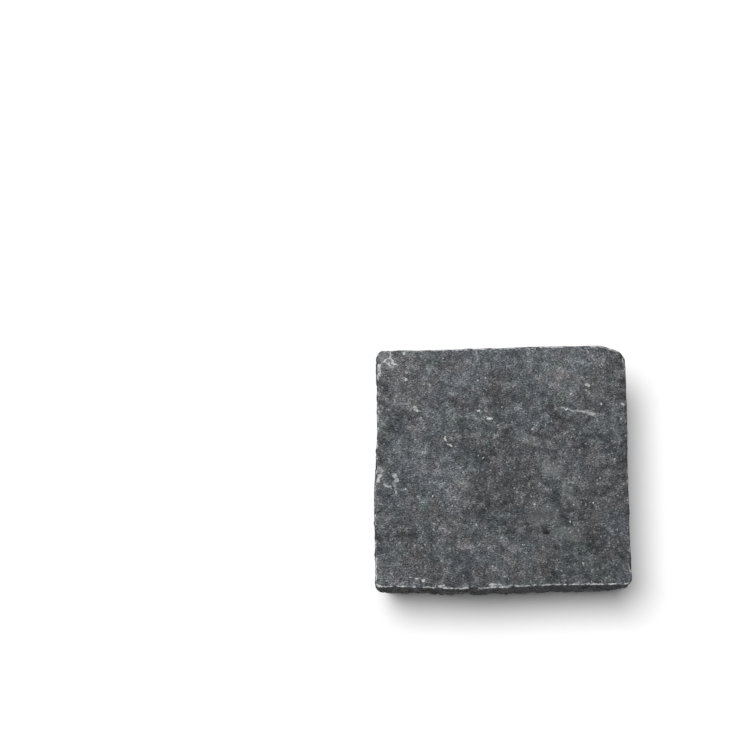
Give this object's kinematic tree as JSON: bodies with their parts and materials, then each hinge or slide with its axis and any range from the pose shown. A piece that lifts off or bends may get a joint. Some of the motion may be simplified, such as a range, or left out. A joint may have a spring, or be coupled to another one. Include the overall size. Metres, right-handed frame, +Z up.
{
  "type": "basalt sett",
  "caption": "Square basalt paving sett, one dark grey stone sawn flat on face and bed, with rough split sides that draw in to the foot and one broken corner.",
  "frame": {"origin": "middle of the bed, on the surface that the stone rests on", "axes": "+X to the right along the slightly longer way, +Y to the back, +Z up to the sawn face"},
  "size_m": [0.1066, 0.1044, 0.05],
  "materials": {
    "basalt": "fine-grained dark grey basalt, matt, finely pitted on the sawn face and coarser on the split sides"
  },
  "bodies": {
    "root": {"sett": "basalt"}
  },
  "joints": []
}
